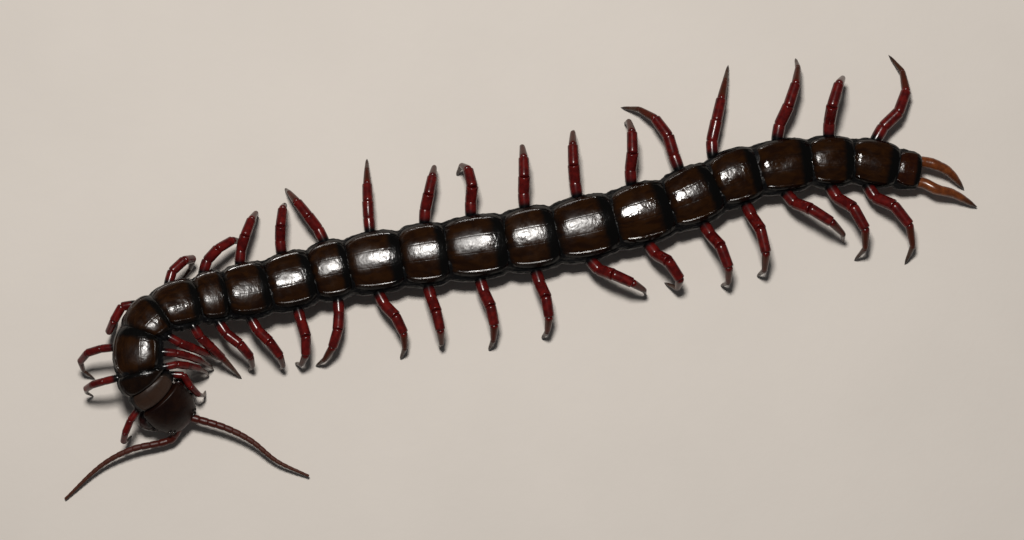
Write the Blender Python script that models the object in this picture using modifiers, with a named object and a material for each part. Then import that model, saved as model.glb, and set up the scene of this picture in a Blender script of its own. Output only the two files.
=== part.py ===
"""Giant centipede, life size, as a still model that rests on its feet.

Units are metres with +Z up. The floor is z = 0 and the origin lies on it, under the middle
of the model. The tail lies towards +X. The front of the body curls round to the animal's left
at -X, and the head bends down towards the floor.
"""
import math

import bmesh
import bpy
from mathutils import Matrix, Vector
from mathutils.geometry import interpolate_bezier

MM = 0.001
GAP = 0.3 * MM

# Body axis: points at mid-height in mm, from the front of the head to the end of the last segment
AXIS_POINTS = (
    (-59.8, -26.2, 2.9),
    (-63.6, -22.5, 8.8),
    (-66.3, -19.3, 11.5),
    (-66.7, -12.4, 11.2),
    (-63.4, -8.0, 10.2),
    (-56.9, -5.6, 8.9),
    (-45.1, -3.0, 6.8),
    (-31.4, 0.6, 5.8),
    (-14.0, 3.35, 5.7),
    (5.0, 6.35, 5.7),
    (25.1, 11.45, 5.7),
    (40.8, 17.7, 5.6),
    (57.6, 19.7, 5.1),
    (69.8, 17.9, 4.3),
)
AXIS_STEPS = 24

# How far the back leans over to the right at each point of the axis, in degrees
AXIS_ROLLS = (0, 1, 5, 13, 13, 11, 5, 1, 0, 0, 0, 0, 0, 0)

# Segments: lengths in mm of the back plates from the neck to the tail, long and short in turn
PLATE_LENGTHS = (3.3, 2.5, 7.0, 5.2, 6.9, 5.0, 7.5, 8.0, 6.5, 9.5, 8.0, 10.5, 9.0, 10.5, 10.0,
                 9.0, 8.0, 9.5, 7.5, 8.0, 4.2)
SEGMENTS = len(PLATE_LENGTHS)
SEGMENTS_PER_NODE = 3

# Width of a back plate in mm at some segments, with straight changes between them
PLATE_WIDTHS = {1: 8.0, 3: 8.4, 5: 8.4, 7: 9.6, 10: 10.4, 12: 10.9, 14: 10.9, 16: 10.1, 18: 9.2,
                20: 8.0, 21: 6.4}
HEIGHT_TO_WIDTH = 0.57
PLATE_RISE = 0.35 * MM
JOINT_EDGE = 0.3 * MM

# Half a cross-section, as shares of the plate's half width and of the body's half height
PLATE_STATIONS = (0.0, 0.33, 0.62, 0.85, 1.0)
PLATE_CROWN = 0.55
PLATE_FALLOFF = 2.4
FLANK_POINTS = ((0.97, 0.28), (1.12, -0.04), (1.09, -0.48), (0.83, -0.84))
BELLY_POINTS = ((0.64, -1.0), (0.32, -1.0), (0.0, -1.0))
FLANK_WIDTH = 1.12

# Head, in the neck's frame: x forward, y to the left, z up
HEAD_LENGTH = 8.0 * MM
HEAD_HALF_WIDTH = 4.3 * MM
HEAD_WIDEST = 0.3
HEAD_ROUNDING = 0.81
HEAD_SQUARENESS = 2.2
HEAD_TOP = 2.5 * MM
HEAD_DOME = 0.3 * MM
HEAD_DROP = 1.1 * MM
HEAD_MARGIN = 1.2 * MM
HEAD_BOTTOM = -0.4 * MM
HEAD_STATIONS = (0.0, 0.12, 0.28, 0.44, 0.6, 0.75, 0.88, 1.0)
HEAD_ACROSS = (0.0, 0.35, 0.65, 0.88, 1.0)
HEAD_RIM = 0.95
HEAD_RIM_DEPTH = 0.35 * MM
HEAD_BELOW = (0.8, 0.4, 0.0)

# Simple eyes: four on each side, as (share of the head's length, share of its half width)
EYE_PLACES = ((0.87, 0.80), (0.79, 0.86), (0.84, 0.66), (0.76, 0.73))
EYE_RADIUS = 0.24 * MM

# Poison claws and the plate that carries them, under the head
CLAW_BASE_LENGTH = 3.6 * MM
CLAW_BASE_HALF_WIDTH = 3.4 * MM
CLAW_BASE_TOP = -0.8 * MM
CLAW_BASE_DEPTH = 2.2 * MM
CLAW_BASE_ROUND = 0.6 * MM
CLAW_POINTS = ((2.3, 3.7, -2.1), (2.3, 4.2, -2.1), (3.5, 4.9, -2.3), (5.4, 4.5, -2.4),
               (7.0, 3.2, -2.5), (8.0, 1.8, -2.6), (8.4, 0.5, -2.6))
CLAW_RADII = (1.1, 1.15, 1.2, 1.0, 0.75, 0.45, 0.12)

# Feelers in mm: where each passes after it leaves the front of the head
FEELER_ROOT = (8.0, 1.4, 0.8)
FEELER_LEAD = 1.1
FEELER_POINTS = {
    "left": ((-52.2, -27.7, 4.2), (-47.8, -29.9, 3.6), (-43.3, -33.4, 2.6), (-37.8, -35.9, 1.2)),
    "right": ((-62.1, -29.7, 2.8), (-68.8, -31.4, 3.4), (-74.2, -34.2, 2.4), (-80.6, -39.9, 0.7)),
}
FEELER_RADII = (0.75, 0.25)
FEELER_STEPS = 3

# Walking legs: length in mm from the hip to the ankle at some segments, and the leg's thickness
LEG_LENGTHS = {1: 11.0, 2: 12.2, 3: 13.3, 12: 13.8, 15: 15.8, 17: 17.5, 20: 18.0}
LEG_GIRTHS = {1: 0.6, 3: 0.68, 6: 0.88, 12: 1.0, 20: 1.02}
LEG_PLACES = {
    "left": {1: 0.0, 2: 0.5, 3: 0.45, 4: 0.6, 5: 0.75, 6: 0.6, 7: 0.5},
    "right": {1: 0.1, 2: 1.0, 3: 0.63, 4: 0.5, 5: 0.5, 10: 0.5, 11: 0.63, 12: 0.5, 16: 0.5, 17: 0.26,
              18: 0.5},
}
ROOT_GAP = 0.4 * MM
HIP_HEIGHT = -0.25
HIP_LENGTH = 0.9 * MM
LEG_LINKS = (0.28, 0.24, 0.23, 0.25)
LEG_BENDS = (0.0, 0.35, 0.35, 0.3)
BEND_STEPS = 40
LINK_END = 0.45 * MM
HIP_RADII = (1.1, 0.95)
JOINT_WAIST = 0.85
ANKLE_RADII = (0.6, 0.35)
FOOT_HEIGHT = 0.56 * MM
FOOT_RADIUS = 0.13

# Pose of each pair: (swing, reach, lean) of the left leg, then of the right leg. Swing turns the
# leg back from straight out, reach is from hip to foot in mm, and lean tips the knee back.
LEG_POSES = {
    1: ((-80, 4.2, -30), (-20, 2.7, 0)),
    2: ((-36, 5.2, 24), (-10, 4.3, 20)),
    3: ((-20, 6.4, 20), (-60, 5.5, 60)),
    4: ((27, 7.6, 0), (-88, 3.3, -15)),
    5: ((31, 9.8, 20), (135, 1.1, 75)),
    6: ((19, 7.3, 30), (72, 6.5, -15)),
    7: ((19, 7.8, 20), (30, 8.2, 0)),
    8: ((-26, 7.4, 30), (20, 6.1, 0)),
    9: ((-39, 10.6, 35), (-24, 11.2, 0)),
    10: ((9, 10.2, 35), (6, 12.4, 0)),
    11: ((2, 8.8, 10), (18, 9.1, 5)),
    12: ((-2, 10.5, 25), (-14, 6.9, 25)),
    13: ((-6, 9.8, 20), (7, 10.3, 5)),
    14: ((54, 10.0, 0), (12, 11.2, -5)),
    15: ((10, 5.2, 20), (12, 10.3, 10)),
    16: ((-8, 9.2, 15), (-18, 14.3, 50)),
    17: ((-12, 10.8, 15), (36, 16.4, 0)),
    18: ((47, 11.9, 5), (25, 14.7, 15)),
    19: ((18, 11.8, 30), (24, 7.9, -10)),
    20: ((38, 13.6, 40), (1, 15.1, 70)),
}

# Last pair of legs, which trail behind the body, in mm
TAIL_LEG_POINTS = {
    "left": ((73.0, 14.7, 4.2), (76.3, 14.0, 3.2), (80.8, 12.0, 0.9)),
    "right": ((72.2, 19.4, 4.2), (75.3, 18.1, 3.4), (78.5, 15.3, 0.9)),
}
TAIL_LEG_RADII = (1.0, 0.2)
TAIL_LEG_ROOT = (1.9 * MM, -0.3 * MM)
TAIL_LEG_LEAD = 1.2 * MM

# Fineness of the round shapes, and the angle from which an edge is shaded sharp
ROUND_SIDES = 2
LEG_SIDES = 1
CREASE_ANGLE = math.radians(35)


def new_material(name, colour, roughness, metallic=0.0):
    """A Principled BSDF with one colour."""
    material = bpy.data.materials.new(name)
    material.use_nodes = True
    shader = material.node_tree.nodes["Principled BSDF"]
    shader.inputs["Base Color"].default_value = (*colour, 1.0)
    shader.inputs["Roughness"].default_value = roughness
    shader.inputs["Metallic"].default_value = metallic
    material.diffuse_color = (*colour, 1.0)
    return material


def between(table, key):
    """A value read from a table of a few keys, with straight changes between them."""
    keys = sorted(table)
    key = min(max(key, keys[0]), keys[-1])
    for low, high in zip(keys, keys[1:]):
        if key <= high:
            break
    share = (key - low) / (high - low)
    return table[low] * (1 - share) + table[high] * share


def smooth_path(points, steps):
    """Points along one smooth curve through the given ones."""
    last = len(points) - 1
    headings = [(points[min(i + 1, last)] - points[max(i - 1, 0)]).normalized()
                for i in range(last + 1)]
    path = [points[0]]
    for i in range(last):
        start, end = points[i], points[i + 1]
        third = (end - start).length / 3
        path += interpolate_bezier(start, start + headings[i] * third,
                                   end - headings[i + 1] * third, end, steps + 1)[1:]
    return path


class BodyAxis:
    """The curve that the body follows, read by the distance behind the neck."""

    def __init__(self, points, rolls, steps):
        self.path = smooth_path([Vector(p) * MM for p in points], steps)
        self.distances = [0.0]
        for front, back in zip(self.path, self.path[1:]):
            self.distances.append(self.distances[-1] + (back - front).length)
        neck = self.distances[steps]
        self.distances = [d - neck for d in self.distances]
        knots = {i * steps: roll for i, roll in enumerate(rolls)}
        self.rolls = [math.radians(between(knots, i)) for i in range(len(self.path))]

    def locate(self, distance):
        """The step of the path that holds a distance, and the share of it that is passed."""
        for i in range(1, len(self.path)):
            if distance <= self.distances[i]:
                break
        return i, (distance - self.distances[i - 1]) / (self.distances[i] - self.distances[i - 1])

    def point(self, distance):
        i, share = self.locate(distance)
        return self.path[i - 1].lerp(self.path[i], share)

    def roll(self, distance):
        """How far the back leans over to the right."""
        i, share = self.locate(distance)
        return self.rolls[i - 1] * (1 - share) + self.rolls[i] * share

    def level_frame(self, distance, reach=0.4 * MM):
        """Forward, level left and up as a matrix's columns, placed on the axis."""
        forward = (self.point(distance - reach) - self.point(distance + reach)).normalized()
        left = Vector((0, 0, 1)).cross(forward).normalized()
        up = forward.cross(left)
        matrix = Matrix((forward, left, up)).transposed().to_4x4()
        matrix.translation = self.point(distance)
        return matrix

    def frame(self, distance):
        """The level frame turned about its forward axis by the body's roll."""
        return self.level_frame(distance) @ Matrix.Rotation(self.roll(distance), 4, "X")


def plate_width(segment):
    """Width of a segment's back plate; a fraction lies between two segments."""
    return between(PLATE_WIDTHS, segment) * MM


def segment_start(segment):
    """Distance behind the neck at which a segment's back plate starts."""
    return sum(PLATE_LENGTHS[:segment - 1]) * MM


def section(width, raised):
    """One ring of (left, up) points, from the middle of the back round by the left side."""
    half_width = width / 2
    half_height = width * HEIGHT_TO_WIDTH / 2
    sink = 0.0 if raised else PLATE_RISE
    shrink = (half_width - sink) / half_width
    half = [(y * half_width * shrink, (1 - PLATE_CROWN * y ** PLATE_FALLOFF) * half_height - sink)
            for y in PLATE_STATIONS]
    half += [(y * half_width, z * half_height) for y, z in FLANK_POINTS]
    half += [(y * half_width, z * half_height + sink / 2) for y, z in BELLY_POINTS]
    return half + mirrored(half)


def mirrored(half):
    """The right half of a ring, from the points of its left half."""
    return [(-left, up) for left, up in reversed(half[1:-1])]


def placed_ring(frame, ring, forward=0.0):
    """A ring of (left, up) points set in a frame's cross plane."""
    return [frame @ Vector((forward, left, up)) for left, up in ring]


def add_object(name, mesh, collection, material):
    """A smooth-shaded object with sharp creases kept."""
    mesh.materials.append(material)
    mesh.shade_smooth()
    mesh.set_sharp_from_angle(angle=CREASE_ANGLE)
    node = bpy.data.objects.new(name, mesh)
    collection.objects.link(node)
    return node


def loft(name, rings, collection, material):
    """A closed body through rings of the same number of points, capped at both ends."""
    shape = bmesh.new()
    loops = [[shape.verts.new(point) for point in ring] for ring in rings]
    count = len(loops[0])
    for front, back in zip(loops, loops[1:]):
        for i in range(count):
            j = (i + 1) % count
            shape.faces.new((front[i], front[j], back[j], back[i]))
    shape.faces.new(loops[0])
    shape.faces.new(loops[-1])
    bmesh.ops.recalc_face_normals(shape, faces=shape.faces)
    mesh = bpy.data.meshes.new(name)
    shape.to_mesh(mesh)
    shape.free()
    return add_object(name, mesh, collection, material)


def tube(name, points, radii, resolution, collection, material):
    """A tapered tube along straight runs: a curve with a bevel and filled caps, radii in mm."""
    curve = bpy.data.curves.new(name, "CURVE")
    curve.dimensions = "3D"
    curve.bevel_depth = MM
    curve.bevel_resolution = resolution
    curve.use_fill_caps = True
    spline = curve.splines.new("POLY")
    spline.points.add(len(points) - 1)
    for target, point, radius in zip(spline.points, points, radii):
        target.co = (*point, 1.0)
        target.radius = radius
    curve.materials.append(material)
    node = bpy.data.objects.new(name, curve)
    collection.objects.link(node)
    return node


def tapered(ends, count):
    """A number of radii that go evenly from the first of two to the second."""
    thick, thin = ends
    return [thick + (thin - thick) * i / (count - 1) for i in range(count)]


def build_trunk(axis, collection, material):
    """The trunk in short lengths, each with its back plates and belly plates raised on it."""
    for first in range(1, SEGMENTS + 1, SEGMENTS_PER_NODE):
        last = first + SEGMENTS_PER_NODE - 1
        rings = []
        for segment in range(first, last + 1):
            start, end = segment_start(segment), segment_start(segment + 1)
            front, middle, back = [axis.frame(d) for d in (start, (start + end) / 2, end)]
            front_trim = GAP / 2 if segment == first else 0.0
            back_trim = GAP / 2 if segment == last else 0.0
            front_width, back_width = plate_width(segment - 0.5), plate_width(segment + 0.5)
            rings += [
                placed_ring(front, section(front_width, False), -front_trim),
                placed_ring(front, section(front_width, True), -front_trim - JOINT_EDGE),
                placed_ring(middle, section(plate_width(segment), True)),
                placed_ring(back, section(back_width, True), back_trim + JOINT_EDGE),
            ]
        rings.append(placed_ring(back, section(back_width, False), back_trim))
        loft(f"trunk_{last // SEGMENTS_PER_NODE}", rings, collection, material)


def head_half_width(share):
    """Half width of the head at a share of its length from the neck."""
    away = abs(share - HEAD_WIDEST) / HEAD_ROUNDING
    return HEAD_HALF_WIDTH * math.sqrt(1 - away ** HEAD_SQUARENESS)


def head_top(share, across):
    """Height of the head's back at a share of its length and of its half width."""
    middle = HEAD_TOP + HEAD_DOME * math.sin(math.pi * share) - HEAD_DROP * share ** 4
    return middle - HEAD_MARGIN * abs(across) ** PLATE_FALLOFF


def head_section(share):
    """One ring round the head: the plate above, its rim, and the flat face below."""
    width = head_half_width(share)
    rim = head_top(share, 1.0)
    half = [(y * width, head_top(share, y)) for y in HEAD_ACROSS]
    half += [(HEAD_RIM * width, rim - HEAD_RIM_DEPTH)]
    half += [(y * width, HEAD_BOTTOM) for y in HEAD_BELOW]
    return half + mirrored(half)


def keep_largest(mesh):
    """Drops every loose surface but the one with the most faces."""
    shape = bmesh.new()
    shape.from_mesh(mesh)
    left_over = set(shape.faces)
    surfaces = []
    while left_over:
        front = [left_over.pop()]
        surface = set(front)
        while front:
            face = front.pop()
            for edge in face.edges:
                for other in edge.link_faces:
                    if other in left_over:
                        left_over.remove(other)
                        surface.add(other)
                        front.append(other)
        surfaces.append(surface)
    surfaces.sort(key=len)
    for surface in surfaces[:-1]:
        bmesh.ops.delete(shape, geom=list(surface), context="FACES")
    shape.to_mesh(mesh)
    shape.free()


def join(node, pieces):
    """One Boolean union of a node with the collection of its pieces, which is then removed."""
    union = node.modifiers.new("union", "BOOLEAN")
    union.operation = "UNION"
    union.operand_type = "COLLECTION"
    union.solver = "EXACT"
    union.collection = pieces
    bpy.context.view_layer.update()
    evaluated = node.evaluated_get(bpy.context.evaluated_depsgraph_get())
    mesh = bpy.data.meshes.new_from_object(evaluated)
    mesh.name = node.name
    node.modifiers.clear()
    node.data = mesh
    for piece in list(pieces.objects):
        bpy.data.objects.remove(piece)
    bpy.data.collections.remove(pieces)
    keep_largest(mesh)
    mesh.set_sharp_from_angle(angle=CREASE_ANGLE)


def build_head(neck, collection, materials):
    """The head plate with its simple eyes."""
    rings = []
    for share in HEAD_STATIONS:
        rings.append(placed_ring(neck, head_section(share), GAP / 2 + share * HEAD_LENGTH))
    head = loft("head", rings, collection, materials["head"])
    eyes = bpy.data.collections.new("eyes")
    bpy.context.scene.collection.children.link(eyes)
    for share, across in EYE_PLACES:
        for side in (1, -1):
            shape = bmesh.new()
            bmesh.ops.create_icosphere(shape, subdivisions=1, radius=EYE_RADIUS)
            mesh = bpy.data.meshes.new("eye")
            shape.to_mesh(mesh)
            shape.free()
            eye = add_object("eye", mesh, eyes, materials["head"])
            place = Vector((share * HEAD_LENGTH, side * across * head_half_width(share),
                            head_top(share, across)))
            eye.location = neck @ place
    join(head, eyes)


def build_claws(neck, collection, materials):
    """The poison claws, curved round under the head from the sides of their base plate."""
    bpy.ops.mesh.primitive_cube_add(size=1)
    base = bpy.context.object
    base.name = "claw_base"
    base.data.transform(Matrix.Diagonal((CLAW_BASE_LENGTH, 2 * CLAW_BASE_HALF_WIDTH,
                                         CLAW_BASE_DEPTH, 1)))
    centre = Vector((GAP / 2 + CLAW_BASE_LENGTH / 2, 0, CLAW_BASE_TOP - CLAW_BASE_DEPTH / 2))
    base.matrix_world = neck @ Matrix.Translation(centre)
    base.data.materials.append(materials["claw"])
    rounding = base.modifiers.new("rounding", "BEVEL")
    rounding.width = CLAW_BASE_ROUND
    rounding.segments = 2
    for user in list(base.users_collection):
        user.objects.unlink(base)
    collection.objects.link(base)
    for name, side in (("left", 1), ("right", -1)):
        points = [neck @ (Vector((x, side * y, z)) * MM) for x, y, z in CLAW_POINTS]
        tube(f"claw_{name}", points, CLAW_RADII, ROUND_SIDES, collection, materials["claw"])


def build_feelers(neck, collection, material):
    """Two long feelers that taper from the front of the head."""
    for name, side in (("left", 1), ("right", -1)):
        x, y, z = FEELER_ROOT
        root = neck @ (Vector((x, side * y, z)) * MM + Vector((GAP / 2 + GAP, 0, 0)))
        lead = root + neck.to_3x3() @ Vector((FEELER_LEAD * MM, 0, 0))
        points = [root] + smooth_path([lead] + [Vector(p) * MM for p in FEELER_POINTS[name]],
                                      FEELER_STEPS)
        radii = tapered(FEELER_RADII, len(points))
        tube(f"antenna_{name}", points, radii, ROUND_SIDES, collection, material)


def arched_chain(lengths, span):
    """Joints of a chain of links as (along, height), bent one way so its ends are a span apart."""
    low, high = 0.0, math.pi * 1.5
    for _ in range(BEND_STEPS):
        bend = (low + high) / 2
        heading = 0.0
        joints = [Vector((0.0, 0.0))]
        for length, share in zip(lengths, LEG_BENDS):
            heading -= share * bend
            joints.append(joints[-1] + length * Vector((math.cos(heading), math.sin(heading))))
        if joints[-1].length > span:
            low = bend
        else:
            high = bend
    turn = Matrix.Rotation(-math.atan2(joints[-1].y, joints[-1].x), 2)
    return [turn @ joint for joint in joints]


def leg_joints(axis, segment, side, pose):
    """Places of a leg's root, hip, three joints, ankle and foot."""
    swing, reach, lean = math.radians(pose[0]), pose[1] * MM, math.radians(pose[2])
    length = PLATE_LENGTHS[segment - 1] * MM
    place = between(LEG_PLACES["left" if side > 0 else "right"], segment)
    distance = segment_start(segment) + length * place
    width = plate_width(segment)
    outward = axis.level_frame(distance).to_3x3() @ Vector((0, side, 0))
    backward = Vector((0, 0, 1)).cross(outward) * side
    root = axis.frame(distance) @ Vector((0, side * (FLANK_WIDTH * width / 2 + ROOT_GAP),
                                          HIP_HEIGHT * width * HEIGHT_TO_WIDTH / 2))
    hip = root + outward * HIP_LENGTH
    way = outward * math.cos(swing) + backward * math.sin(swing)
    foot = Vector((hip.x, hip.y, 0)) + way * reach
    ankle = foot + Vector((0, 0, FOOT_HEIGHT))
    along = (ankle - hip).normalized()
    across = along.cross(Vector((0, 0, 1))).normalized()
    across *= 1 if across.dot(backward) > 0 else -1
    rise = across.cross(along)
    rise *= 1 if rise.z > 0 else -1
    rise = rise * math.cos(lean) + across * math.sin(lean)
    links = [between(LEG_LENGTHS, segment) * MM * share for share in LEG_LINKS]
    chain = arched_chain(links, (ankle - hip).length)
    return [root] + [hip + along * a + rise * h for a, h in chain] + [foot]


def build_leg(name, joints, girth, collection, material):
    """A leg as a tube that swells at the end of each link and narrows where the next starts."""
    root, hip, knee, shin, heel, ankle, foot = joints
    points = [root, hip]
    radii = [share * girth for share in HIP_RADII]
    for start, end, share in ((hip, knee, 1.0), (knee, shin, 0.95), (shin, heel, 0.85)):
        near_end = end - (end - start).normalized() * LINK_END
        points += [near_end, end]
        radii += [share * girth, JOINT_WAIST * share * girth]
    points += [heel.lerp(ankle, 0.5), ankle, foot]
    radii += [share * girth for share in ANKLE_RADII] + [FOOT_RADIUS]
    tube(name, points, radii, LEG_SIDES, collection, material)


def build_legs(axis, collection, material):
    """Twenty pairs of walking legs, each standing on a small flat foot."""
    for segment, poses in LEG_POSES.items():
        girth = between(LEG_GIRTHS, segment)
        for name, side, pose in zip(("left", "right"), (1, -1), poses):
            joints = leg_joints(axis, segment, side, pose)
            build_leg(f"leg_{segment:02d}_{name}", joints, girth, collection, material)


def build_tail_legs(axis, collection, material):
    """The last pair of legs, longer in their first link and trailing behind the body."""
    end = axis.frame(segment_start(SEGMENTS + 1))
    for name, side in (("left", 1), ("right", -1)):
        left, up = TAIL_LEG_ROOT
        root = end @ Vector((-GAP / 2, side * left, up))
        lead = end @ Vector((-TAIL_LEG_LEAD, side * left, up))
        points = [root] + smooth_path([lead] + [Vector(p) * MM for p in TAIL_LEG_POINTS[name]],
                                      FEELER_STEPS)
        radii = tapered(TAIL_LEG_RADII, len(points))
        tube(f"tail_leg_{name}", points, radii, ROUND_SIDES, collection, material)


def main():
    for old in list(bpy.data.objects):
        bpy.data.objects.remove(old)
    collection = bpy.data.collections.new("giant_centipede")
    bpy.context.scene.collection.children.link(collection)
    shell = new_material("shell", (0.05, 0.028, 0.015), 0.2)
    head = new_material("head", (0.06, 0.03, 0.02), 0.35)
    claw = new_material("claw", (0.09, 0.02, 0.012), 0.25)
    leg = new_material("leg", (0.18, 0.012, 0.012), 0.25)
    feeler = new_material("feeler", (0.16, 0.03, 0.02), 0.4)
    tail_leg = new_material("tail_leg", (0.25, 0.08, 0.03), 0.3)
    axis = BodyAxis(AXIS_POINTS, AXIS_ROLLS, AXIS_STEPS)
    neck = axis.frame(0.0)
    build_trunk(axis, collection, shell)
    build_head(neck, collection, {"head": head})
    build_claws(neck, collection, {"claw": claw})
    build_feelers(neck, collection, feeler)
    build_legs(axis, collection, leg)
    build_tail_legs(axis, collection, tail_leg)


if __name__ == "__main__":
    main()
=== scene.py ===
"""Looks of a life-size giant centipede, modelled over its solid parts.

Straight pieces lie along x from the tip of the head (x = 0) towards the tail, with the animal's
left at -y and its back up. A Curve modifier then bends them along the body's axis. Lengths are
in mm unless a name or comment says otherwise.
"""

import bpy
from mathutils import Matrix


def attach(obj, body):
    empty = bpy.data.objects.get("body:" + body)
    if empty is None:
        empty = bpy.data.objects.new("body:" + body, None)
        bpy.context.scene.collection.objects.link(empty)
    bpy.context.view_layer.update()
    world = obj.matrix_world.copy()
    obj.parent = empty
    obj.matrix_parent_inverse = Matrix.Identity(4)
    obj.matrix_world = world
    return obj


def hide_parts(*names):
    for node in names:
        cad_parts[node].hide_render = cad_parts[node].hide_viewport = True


bl_info = {
    "name": "Giant Centipede",
    "version": (1, 0, 0),
    "blender": (4, 5, 0),
    "location": "View3D > Sidebar > Centipede",
    "description": "Models the plates, skin, head, claws, feelers and legs of a giant centipede",
    "category": "Object",
}

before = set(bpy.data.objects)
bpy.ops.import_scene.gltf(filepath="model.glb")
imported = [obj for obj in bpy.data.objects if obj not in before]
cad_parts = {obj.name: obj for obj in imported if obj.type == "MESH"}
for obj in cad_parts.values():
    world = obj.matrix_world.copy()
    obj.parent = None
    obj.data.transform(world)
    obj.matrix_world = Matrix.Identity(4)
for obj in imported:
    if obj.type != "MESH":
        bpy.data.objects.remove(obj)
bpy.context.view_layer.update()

import math

import bmesh
import bpy
import numpy as np
from mathutils import Matrix, Vector
from mathutils.geometry import interpolate_bezier

MM = 0.001
TO_METRES = Matrix.Scale(MM, 4)
SIDES = (("left", 1), ("right", -1))
NEARLY_UP = Vector((0.02, 0.03, 1))  # so that no link of a leg lies along it

# Body axis, plates, head and legs: the same named values as the solids have
AXIS_POINTS = (
    (-59.8, -26.2, 2.9), (-63.6, -22.5, 8.8), (-66.3, -19.3, 11.5), (-66.7, -12.4, 11.2),
    (-63.4, -8.0, 10.2), (-56.9, -5.6, 8.9), (-45.1, -3.0, 6.8), (-31.4, 0.6, 5.8),
    (-14.0, 3.35, 5.7), (5.0, 6.35, 5.7), (25.1, 11.45, 5.7), (40.8, 17.7, 5.6),
    (57.6, 19.7, 5.1), (69.8, 17.9, 4.3),
)
AXIS_STEPS = 24
AXIS_ROLLS = (0, 1, 5, 13, 13, 11, 5, 1, 0, 0, 0, 0, 0, 0)
PLATE_LENGTHS = (3.3, 2.5, 7.0, 5.2, 6.9, 5.0, 7.5, 8.0, 6.5, 9.5, 8.0, 10.5, 9.0, 10.5, 10.0,
                 9.0, 8.0, 9.5, 7.5, 8.0, 4.2)
SEGMENTS = len(PLATE_LENGTHS)
PLATE_WIDTHS = {1: 8.0, 3: 8.4, 5: 8.4, 7: 9.6, 10: 10.4, 12: 10.9, 14: 10.9, 16: 10.1, 18: 9.2,
                20: 8.0, 21: 6.4}
HEIGHT_TO_WIDTH = 0.57
PLATE_CROWN = 0.55
PLATE_FALLOFF = 2.4
FLANK_WIDTH = 1.12

HEAD_LENGTH = 8.0
HEAD_HALF_WIDTH = 4.3
HEAD_WIDEST = 0.3
HEAD_ROUNDING = 0.81
HEAD_SQUARENESS = 2.2
HEAD_TOP = 2.5
HEAD_DOME = 0.3
HEAD_DROP = 1.1
EYE_PLACES = ((0.87, 0.80), (0.79, 0.86), (0.84, 0.66), (0.76, 0.73))
CLAW_POINTS = ((2.3, 3.7, -2.1), (2.3, 4.2, -2.1), (3.5, 4.9, -2.3), (5.4, 4.5, -2.4),
               (7.0, 3.2, -2.5), (8.0, 1.8, -2.6), (8.4, 0.5, -2.6))
FEELER_ROOT = (8.0, 1.4, 0.8)
FEELER_POINTS = {
    "left": ((-52.2, -27.7, 4.2), (-47.8, -29.9, 3.6), (-43.3, -33.4, 2.6), (-37.8, -35.9, 1.2)),
    "right": ((-62.1, -29.7, 2.8), (-68.8, -31.4, 3.4), (-74.2, -34.2, 2.4), (-80.6, -39.9, 0.7)),
}
FEELER_RADII = (0.75, 0.25)
FEELER_INSET = 0.6
FEELER_TAPER = 0.85
BEAD_SPANS = (1.25, 0.75)  # first and last, against each other

LEG_LENGTHS = {1: 11.0, 2: 12.2, 3: 13.3, 12: 13.8, 15: 15.8, 17: 17.5, 20: 18.0}
LEG_GIRTHS = {1: 0.6, 3: 0.68, 6: 0.88, 12: 1.0, 20: 1.02}
LEG_PLACES = {
    "left": {1: 0.0, 2: 0.5, 3: 0.45, 4: 0.6, 5: 0.75, 6: 0.6, 7: 0.5},
    "right": {1: 0.1, 2: 1.0, 3: 0.63, 4: 0.5, 5: 0.5, 10: 0.5, 11: 0.63, 12: 0.5, 16: 0.5, 17: 0.26,
              18: 0.5},
}
ROOT_GAP = 0.4
HIP_HEIGHT = -0.25
HIP_LENGTH = 0.9
LEG_LINKS = (0.28, 0.24, 0.23, 0.25)
LEG_BENDS = (0.0, 0.35, 0.35, 0.3)
BEND_STEPS = 40
FOOT_HEIGHT = 0.56
LEG_POSES = {
    1: ((-80, 4.2, -30), (-20, 2.7, 0)),
    2: ((-36, 5.2, 24), (-10, 4.3, 20)),
    3: ((-20, 6.4, 20), (-60, 5.5, 60)),
    4: ((27, 7.6, 0), (-88, 3.3, -15)),
    5: ((31, 9.8, 20), (135, 1.1, 75)),
    6: ((19, 7.3, 30), (72, 6.5, -15)),
    7: ((19, 7.8, 20), (30, 8.2, 0)),
    8: ((-26, 7.4, 30), (20, 6.1, 0)),
    9: ((-39, 10.6, 35), (-24, 11.2, 0)),
    10: ((9, 10.2, 35), (6, 12.4, 0)),
    11: ((2, 8.8, 10), (18, 9.1, 5)),
    12: ((-2, 10.5, 25), (-14, 6.9, 25)),
    13: ((-6, 9.8, 20), (7, 10.3, 5)),
    14: ((54, 10.0, 0), (12, 11.2, -5)),
    15: ((10, 5.2, 20), (12, 10.3, 10)),
    16: ((-8, 9.2, 15), (-18, 14.3, 50)),
    17: ((-12, 10.8, 15), (36, 16.4, 0)),
    18: ((47, 11.9, 5), (25, 14.7, 15)),
    19: ((18, 11.8, 30), (24, 7.9, -10)),
    20: ((38, 13.6, 40), (1, 15.1, 70)),
}
TAIL_LEG_POINTS = {
    "left": ((73.0, 14.7, 4.2), (76.3, 14.0, 3.2), (80.8, 12.0, 0.9)),
    "right": ((72.2, 19.4, 4.2), (75.3, 18.1, 3.4), (78.5, 15.3, 0.9)),
}
TAIL_LEG_ROOT = (1.9, -0.3)
TAIL_LEG_LEAD = 1.2

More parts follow.
